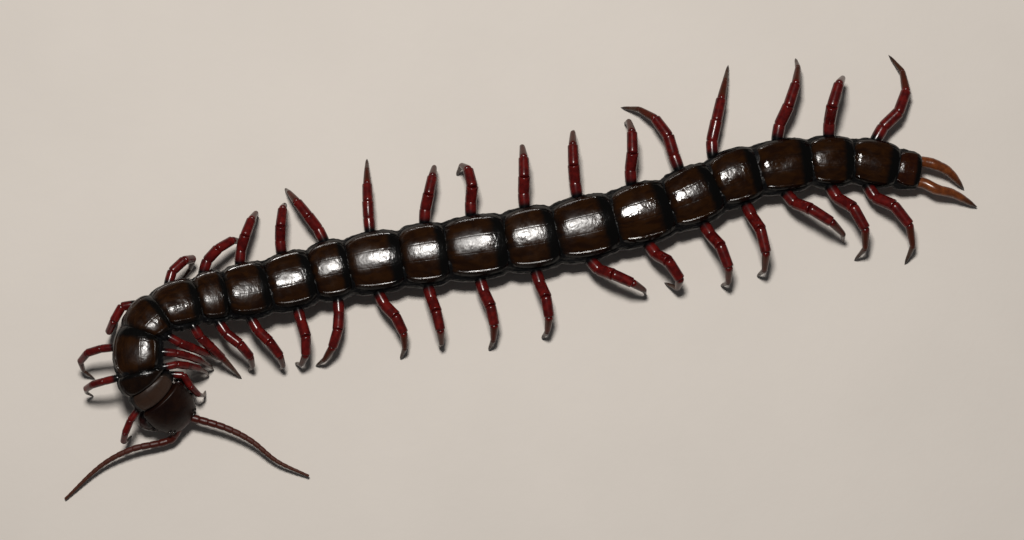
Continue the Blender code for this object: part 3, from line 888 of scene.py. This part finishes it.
def feeler_material(name):
    """Red-brown feeler, satin, with fine down."""
    paint, palette = Paint(name, 0.3), colours()
    reach, link = paint.mark("reach"), paint.mark("link")
    colour = paint.mix(reach.rise(0.0, 0.8), palette.feeler_red, palette.feeler_brown)
    collar = (1.0 - link.rise(0.0, 0.18)) + link.rise(0.86, 1.0)
    colour = paint.mix(collar * 0.3, colour, palette.leg_deep)
    return paint.finish(colour, 0.34 + reach.rise(0.1, 0.3) * 0.2,
                        paint.bump(paint.noise(7000.0, 3.0, 0.6), 0.03, 0.7))


def eye_material(name):
    """Polished black bead."""
    paint = Paint(name)
    patches = paint.noise(2500.0).rise(0.3, 0.7)
    return paint.finish(paint.mix(patches, (0.004, 0.003, 0.003), (0.012, 0.008, 0.006)), 0.06)


def floor_material(name):
    """Pale matt floor with the faintest mottling."""
    paint, pale = Paint(name), colours().floor
    mottling = paint.noise(26.0, 6.0, 0.6).rise(0.3, 0.7)
    return paint.finish(paint.mix(mottling, [c * 0.965 for c in pale], pale), 0.75,
                        paint.bump(paint.noise(420.0, 4.0), 0.15, 0.35))


# Pieces

class CentipedeSizes(bpy.types.PropertyGroup):
    fold_depth: bpy.props.FloatProperty(
        name="Fold depth", description="Depth of the fine folds in the side skin",
        default=0.24 * MM, unit="LENGTH", precision=5)
    leg_fullness: bpy.props.FloatProperty(
        name="Leg fullness", description="Thickness of the leg links against the solids",
        default=1.1, min=0.5, max=1.2, subtype="FACTOR")
    feeler_beads: bpy.props.IntProperty(
        name="Feeler beads", description="Number of articles in a feeler", default=18, min=6)


def tint(label, words, *value):
    """A colour that a user would change."""
    return bpy.props.FloatVectorProperty(name=label, description=words, default=value, size=3,
                                         min=0.0, max=1.0, subtype="COLOR")


class CentipedeColours(bpy.types.PropertyGroup):
    shell_warm: tint("Shell brown", "Warm brown in a back plate's middle", 0.019, 0.0060, 0.0006)
    shell_deep: tint("Shell deep brown", "Deep brown marbling", 0.0085, 0.0023, 0.0003)
    # shell_band is the plates' own blackish edge, and also the painted shade at the front of each plate
    shell_band: tint("Shell edge", "Blackish edge of a plate", 0.0015, 0.0013, 0.0011)
    shell_first: tint("First plate", "Duller brown of the first plate", 0.032, 0.0155, 0.009)
    # skin_dark is the side skin's own colour, and also the painted shade at the root of each leg
    skin_dark: tint("Skin dark", "Dark side skin", 0.0016, 0.0016, 0.0019)
    skin_light: tint("Skin light", "Lighter side skin", 0.0045, 0.0045, 0.0052)
    belly: tint("Belly", "Belly plates", 0.05, 0.022, 0.010)
    leg_red: tint("Leg red", "Bright red of a leg link", 0.115, 0.0065, 0.005)
    leg_deep: tint("Leg deep red", "Deep red of a leg link", 0.050, 0.003, 0.003)
    leg_brown: tint("Leg brown", "Brown of a leg's end", 0.044, 0.016, 0.007)
    claw_dark: tint("Claw brown", "Dark claw at a leg's tip", 0.014, 0.006, 0.004)
    claw_black: tint("Claw black", "Tip of a poison claw", 0.006, 0.003, 0.003)
    tail_orange: tint("Last leg orange", "Last legs, light", 0.17, 0.045, 0.010)
    tail_deep: tint("Last leg brown", "Last legs, deep", 0.085, 0.020, 0.005)
    head_warm: tint("Head brown", "Head plate, light", 0.012, 0.0038, 0.0016)
    # head_deep is the head's own deep brown, and also the painted shade that darkens the poison claws
    # under the head
    head_deep: tint("Head deep brown", "Head plate, deep", 0.0055, 0.0016, 0.0010)
    feeler_red: tint("Feeler red", "Base of a feeler", 0.048, 0.006, 0.003)
    feeler_brown: tint("Feeler brown", "Tip of a feeler", 0.060, 0.015, 0.006)
    floor: tint("Floor", "Pale floor", 0.66, 0.61, 0.56)


def set_along_body(pattern, name, length, lift, material):
    """Sets a numbered copy of a straight plate at every segment, lifted by a share of its width."""
    for segment in range(1, SEGMENTS + 1):
        plate = copy_of(pattern, f"{name}_{segment:02d}")
        width = plate_width(segment)
        size = width / (2 * PLATE_HALF)
        place(plate, Matrix.Translation((segment_start(segment), 0, lift * width))
              @ Matrix.Diagonal((PLATE_LENGTHS[segment - 1] / length, size, size, 1)))
        mark(plate, "order", float(segment))
        bend(plate, rolls=AXIS_ROLLS)
        finish_piece(plate, material)
    discard(pattern)


class CENTIPEDE_OT_back_plates(bpy.types.Operator):
    """Models the back plates, one for each segment, each lapping over the next"""
    bl_idname = "centipede.back_plates"
    bl_label = "Back plates"

    def execute(self, context):
        plate = shaped_sheet("back_plate", PLATE_LENGTH, PLATE_HALF, PLATE_ROWS, PLATE_COLUMNS,
                             plate_height)
        apply(plate, "SOLIDIFY", thickness=PLATE_THICKNESS * MM, offset=-1.0, use_even_offset=False)
        subdivide(plate)
        spots = places(plate)
        along = spots[:, 0] / PLATE_LENGTH
        mark(plate, "along", along)
        shares, widths = [row[0] for row in PLATE_ROWS], [row[1] for row in PLATE_ROWS]
        mark(plate, "across", spots[:, 1] / (PLATE_HALF * np.interp(along, shares, widths)))
        set_along_body(plate, "back_plate", PLATE_LENGTH, 0, made("plate_gloss", shell_material))
        return {"FINISHED"}


class CENTIPEDE_OT_skin(bpy.types.Operator):
    """Models the skin between the plates as one body from neck to tail"""
    bl_idname = "centipede.skin"
    bl_label = "Body skin"

    def execute(self, context):
        rows = []
        for segment in range(1, SEGMENTS + 1):
            start, length = segment_start(segment), PLATE_LENGTHS[segment - 1]
            for share, swell in SKIN_ROWS:
                width = plate_width(segment - 0.5 + share) / 2
                rows.append((start + share * length, width * swell,
                             width * HEIGHT_TO_WIDTH * (1 + (swell - 1) * 0.6), 0.0))
        (first, *front, _), (last, *end, _) = rows[0], rows[-1]
        rows[0] = (first - 0.1, *(size * END_SIZE for size in front), 0.0)
        rows.append((last + 0.12, *(size * END_SIZE for size in end), 0.0))
        outline = [(y * (SKIN_FULL_RIGHT if y > 0 else SKIN_FULL_LEFT), z)
                   for y, z in both_sides(SKIN_OUTLINE)]
        skin = drawn_out("body_skin", outline, rows)
        subdivide(skin)
        for width, depth in SKIN_FOLDS:
            folds = bpy.data.textures.new("folds", "CLOUDS")
            folds.noise_scale = width * MM
            folds.noise_depth = 2
            apply(skin, "DISPLACE", texture=folds, texture_coords="LOCAL",
                  strength=sizes().fold_depth * depth, mid_level=0.55)
        bend(skin, rolls=AXIS_ROLLS)
        finish_piece(skin, made("side_skin", skin_material),
                     [f"trunk_{i}" for i in range(1, SEGMENTS // 3 + 1)], 60)
        return {"FINISHED"}


class CENTIPEDE_OT_belly_plates(bpy.types.Operator):
    """Models the belly plates, one for each segment"""
    bl_idname = "centipede.belly_plates"
    bl_label = "Belly plates"

    def execute(self, context):
        plate = shaped_sheet("belly_plate", BELLY_LENGTH, BELLY_HALF, BELLY_ROWS, BELLY_COLUMNS,
                             lambda share: 0.0)
        apply(plate, "SOLIDIFY", thickness=PLATE_THICKNESS * MM, offset=1.0, use_even_offset=False)
        subdivide(plate)
        mark(plate, "across", places(plate)[:, 1] / BELLY_HALF)
        set_along_body(plate, "belly_plate", BELLY_LENGTH, -HEIGHT_TO_WIDTH / 2,
                       made("belly_satin", belly_material))
        return {"FINISHED"}


class CENTIPEDE_OT_head(bpy.types.Operator):
    """Models the head plate, its underside and the simple eyes"""
    bl_idname = "centipede.head"
    bl_label = "Head"

    def execute(self, context):
        rows = []
        for share in HEAD_STATIONS:
            width = head_half_width(min(share, 1.0))
            if share in (HEAD_STATIONS[0], HEAD_STATIONS[-1]):
                width *= END_SIZE
            top = head_top(share) - max(0.0, share - BROW_START) * BROW_DROP
            rows.append((share * HEAD_LENGTH, width, top, 0.0))
        head = drawn_out("head_plate", both_sides(HEAD_OUTLINE), rows)
        edit(head)
        for x, drop in HEAD_FURROW:
            pick(head, lambda p: p.z > 0.5 and abs(p.y) < 0.1 and abs(p.x - x) < 0.35)
            shift(0, 0, -drop)
        close(head)
        subdivide(head, 2)
        mark(head, "front", np.interp(places(head)[:, 0], HEAD_FRONT, (0, 1)))
        place(head, NECK_FRAME)
        finish_piece(head, made("head_satin", head_material), ["head"], 50)
        clear_selection()
        bpy.ops.mesh.primitive_uv_sphere_add(segments=16, ring_count=10, radius=EYE_RADIUS * MM)
        bead = opened("simple_eye")
        bpy.ops.mesh.select_all(action="SELECT")
        stretch(1, 1, EYE_FLATNESS)
        close(bead)
        beads = []
        for share, across in EYE_PLACES:
            y = across * head_half_width(share)
            z = head_top(share) * np.interp(across, *zip(*HEAD_OUTLINE[:HEAD_UPPER])) + 0.02
            for _, side in SIDES:
                beads.append(copy_of(bead, "simple_eye"))
                place(beads[-1], NECK_FRAME @ Matrix.Translation((share * HEAD_LENGTH, side * y, z)))
        discard(bead)
        finish_piece(joined("simple_eyes", beads), made("eye_polish", eye_material))
        return {"FINISHED"}


class CENTIPEDE_OT_poison_claws(bpy.types.Operator):
    """Models the two poison claws and the toothed plate between them"""
    bl_idname = "centipede.poison_claws"
    bl_label = "Poison claws"

    def execute(self, context):
        material = made("poison_claw", poison_claw_material)
        parts = [drawn_out("claw_plate", both_sides(CLAW_PLATE_OUTLINE), CLAW_PLATE_ROWS)]
        subdivide(parts[0])
        lobe, tooth = rod("tooth_lobe", 12, TOOTH_LOBE), rod("tooth", 8, TOOTH)
        for _, side in SIDES:
            parts.append(copy_of(lobe, "tooth_lobe"))
            place(parts[-1], Matrix.Translation((LOBE_FRONT, side * LOBE_ACROSS, TEETH_HEIGHT))
                  @ Matrix.Diagonal(LOBE_SCALE))
            for across in TEETH_ACROSS:
                parts.append(copy_of(tooth, "tooth"))
                place(parts[-1], Matrix.Translation((TEETH_FRONT, side * across, TEETH_HEIGHT)))
        discard(lobe, tooth)
        base = joined("claw_plate", parts)
        mark(base, "reach", np.interp(places(base)[:, 0], CLAW_PLATE_DARKENS, (0, 1)))
        place(base, NECK_FRAME)
        finish_piece(base, material, ["claw_base"])
        pattern = rod("poison_claw", 20, POISON_CLAW)
        subdivide(pattern)
        mark(pattern, "reach", places(pattern)[:, 0] / POISON_CLAW_LENGTH)
        for name, side in SIDES:
            points = [NECK_FRAME @ Vector((x, side * y, z)) for x, y, z in CLAW_POINTS]
            claw = copy_of(pattern, f"poison_claw_{name}")
            place(claw, Matrix.Diagonal((path_length(points) / POISON_CLAW_LENGTH, 1, 1, 1)))
            bend(claw, points)
            finish_piece(claw, material, [f"claw_{name}"])
        discard(pattern)
        return {"FINISHED"}


class CENTIPEDE_OT_feelers(bpy.types.Operator):
    """Models the two feelers as strings of short beads"""
    bl_idname = "centipede.feelers"
    bl_label = "Feelers"

    def execute(self, context):
        count = sizes().feeler_beads
        bead = rod("bead", 16, BEAD)
        subdivide(bead)
        mark(bead, "link", places(bead)[:, 0])
        for name, side in SIDES:
            x, y, z = FEELER_ROOT
            root = NECK_FRAME @ Vector((x - FEELER_INSET, side * y, z))
            points = [root] + [Vector(p) for p in FEELER_POINTS[name]]
            thick, thin = FEELER_RADII
            spans = np.linspace(*BEAD_SPANS, count)
            unit = path_length(points) / sum(spans)
            beads = []
            start = 0.0
            for i, span in enumerate(spans):
                share = i / (count - 1)
                radius = thick + (thin - thick) * share ** FEELER_TAPER
                link = copy_of(bead, "bead")
                place(link, Matrix.Translation((start, 0, 0))
                      @ Matrix.Diagonal((span * unit, radius, radius, 1)))
                mark(link, "reach", share)
                beads.append(link)
                start += span * unit
            feeler = joined(f"feeler_{name}", beads)
            bend(feeler, points)
            finish_piece(feeler, made("feeler_down", feeler_material),
                         [f"antenna_{name}"])
        discard(bead)
        return {"FINISHED"}


def build_leg(name, patterns, stops, girth):
    """A leg with a link between each two of its stops, counted from the body."""
    links = []
    for i, (pattern, (_, share)) in enumerate(zip(patterns, LEG_CHAIN)):
        start, end = stops[i:i + 2]
        link = copy_of(pattern, "link")
        mark(link, "reach", (i + np.clip(places(link)[:, 0], 0, 1)) / len(LEG_CHAIN))
        forward = (end - start).normalized()
        side = NEARLY_UP.cross(forward).normalized()
        matrix = Matrix((forward, side, forward.cross(side))).transposed().to_4x4()
        matrix.translation = start
        radius = share * girth
        place(link, matrix @ Matrix.Diagonal(((end - start).length, radius, radius, 1)))
        links.append(link)
    return joined(name, links)


class CENTIPEDE_OT_walking_legs(bpy.types.Operator):
    """Models the walking legs, a chain of links and a claw for each"""
    bl_idname = "centipede.walking_legs"
    bl_label = "Walking legs"

    def execute(self, context):
        patterns = []
        for rows, _ in LEG_CHAIN:
            patterns.append(rod("link", 16, rows))
            subdivide(patterns[-1])
            mark(patterns[-1], "link", np.clip(places(patterns[-1])[:, 0], 0, 1))
        material = made("leg_gloss", leg_material)
        for segment, poses in LEG_POSES.items():
            girth = between(LEG_GIRTHS, segment) * sizes().leg_fullness
            for (name, side), pose in zip(SIDES, poses):
                root, hip, knee, shin, heel, _, foot = leg_joints(segment, side, pose)
                outward = (hip - root).normalized()
                lead = Vector((*(knee - hip).xy, 0)).normalized() * COXA_LEAN + outward
                stops = (hip - lead.normalized() * COXA_DEPTH, hip.lerp(knee, THIGH_START), knee,
                         shin, heel, *(heel.lerp(foot, share) for share in ANKLE_STOPS), foot)
                leg = build_leg(f"walking_leg_{segment:02d}_{name}", patterns, stops, girth)
                finish_piece(leg, material, [f"leg_{segment:02d}_{name}"])
        discard(*patterns)
        return {"FINISHED"}


class CENTIPEDE_OT_last_legs(bpy.types.Operator):
    """Models the last pair of legs, which trail behind the body"""
    bl_idname = "centipede.last_legs"
    bl_label = "Last legs"

    def execute(self, context):
        material = made("last_leg_gloss", tail_leg_material)
        end = BODY.level_frame(segment_start(SEGMENTS + 1))
        swelling = rod("hip_swelling", 20, HIP_SWELLING)
        subdivide(swelling)
        pattern = rod("last_leg", 20, LAST_LEG)
        subdivide(pattern)
        mark(pattern, "reach", places(pattern)[:, 0])
        for name, side in SIDES:
            left, up = TAIL_LEG_ROOT
            root, lead = [end @ Vector((x, side * left, up)) for x in (0.3, -TAIL_LEG_LEAD)]
            points = [root, lead] + [Vector(p) for p in TAIL_LEG_POINTS[name]]
            leg = copy_of(pattern, f"last_leg_{name}")
            place(leg, Matrix.Scale(path_length(points), 4, (1, 0, 0)))
            bend(leg, points)
            hip = copy_of(swelling, f"hip_swelling_{name}")
            y, z = HIP_SWELLING_PLACE
            place(hip, Matrix.Translation((segment_start(SEGMENTS), -side * y, z)))
            bend(hip, rolls=AXIS_ROLLS)
            finish_piece(hip, material)
            finish_piece(leg, material, [f"tail_leg_{name}"])
        discard(pattern, swelling)
        return {"FINISHED"}


class CENTIPEDE_OT_stage(bpy.types.Operator):
    """Sets the pale floor, the soft light and the camera above the model"""
    bl_idname = "centipede.stage"
    bl_label = "Stage"

    def execute(self, context):
        scene = context.scene
        clear_selection()
        bpy.ops.mesh.primitive_plane_add(size=6.0, location=(0, 0, 0))
        floor = bpy.context.object
        floor.name = "floor"
        floor.data.materials.append(made("pale_floor", floor_material))
        lamp = bpy.data.lights.new("key", "AREA")
        lamp.size = LAMP_SIZE
        lamp.energy = LAMP_POWER
        lamp.color = (1.0, 0.97, 0.93)
        holder = bpy.data.objects.new("key", lamp)
        scene.collection.objects.link(holder)
        holder.location = LAMP_PLACE
        holder.rotation_euler = (Vector(LAMP_AIM) - holder.location).to_track_quat("-Z", "Y").to_euler()
        scene.view_settings.view_transform = "Standard"
        scene.world = bpy.data.worlds.new("studio")
        scene.world.use_nodes = True
        background = scene.world.node_tree.nodes["Background"]
        background.inputs["Color"].default_value = (0.95, 0.97, 1.0, 1.0)
        background.inputs["Strength"].default_value = SKY_STRENGTH
        lens = bpy.data.cameras.new("camera")
        lens.lens = 100.0
        lens.sensor_width = 36.0
        lens.clip_start = 0.01
        camera = bpy.data.objects.new("camera", lens)
        scene.collection.objects.link(camera)
        back = Vector((0, -math.sin(CAMERA_TILT), math.cos(CAMERA_TILT)))
        camera.location = Vector(CAMERA_TARGET) + back * CAMERA_DISTANCE
        camera.rotation_euler = (CAMERA_TILT, 0, 0)
        scene.camera = camera
        return {"FINISHED"}


class CENTIPEDE_PT_panel(bpy.types.Panel):
    """Lists the pieces of the centipede with their sizes and colours"""
    bl_label = "Centipede"
    bl_idname = "CENTIPEDE_PT_panel"
    bl_space_type = "VIEW_3D"
    bl_region_type = "UI"
    bl_category = "Centipede"

    def draw(self, context):
        layout = self.layout
        for group in (sizes(), colours()):
            column = layout.column()
            for name in group.__annotations__:
                column.prop(group, name)
        for operator in OPERATORS:
            layout.operator(operator.bl_idname)


OPERATORS = (
    CENTIPEDE_OT_stage,
    CENTIPEDE_OT_skin,
    CENTIPEDE_OT_back_plates,
    CENTIPEDE_OT_belly_plates,
    CENTIPEDE_OT_head,
    CENTIPEDE_OT_poison_claws,
    CENTIPEDE_OT_feelers,
    CENTIPEDE_OT_walking_legs,
    CENTIPEDE_OT_last_legs,
)
CLASSES = (CentipedeSizes, CentipedeColours, *OPERATORS, CENTIPEDE_PT_panel)


def register():
    for kind in CLASSES:
        bpy.utils.register_class(kind)
    bpy.types.Scene.centipede_sizes = bpy.props.PointerProperty(type=CentipedeSizes)
    bpy.types.Scene.centipede_colours = bpy.props.PointerProperty(type=CentipedeColours)


def unregister():
    del bpy.types.Scene.centipede_colours
    del bpy.types.Scene.centipede_sizes
    for kind in reversed(CLASSES):
        bpy.utils.unregister_class(kind)


def main():
    register()
    bpy.ops.centipede.stage()
    bpy.ops.centipede.skin()
    bpy.ops.centipede.back_plates()
    bpy.ops.centipede.belly_plates()
    bpy.ops.centipede.head()
    bpy.ops.centipede.poison_claws()
    bpy.ops.centipede.feelers()
    bpy.ops.centipede.walking_legs()
    bpy.ops.centipede.last_legs()
    clear_selection()


if __name__ == "__main__":
    main()
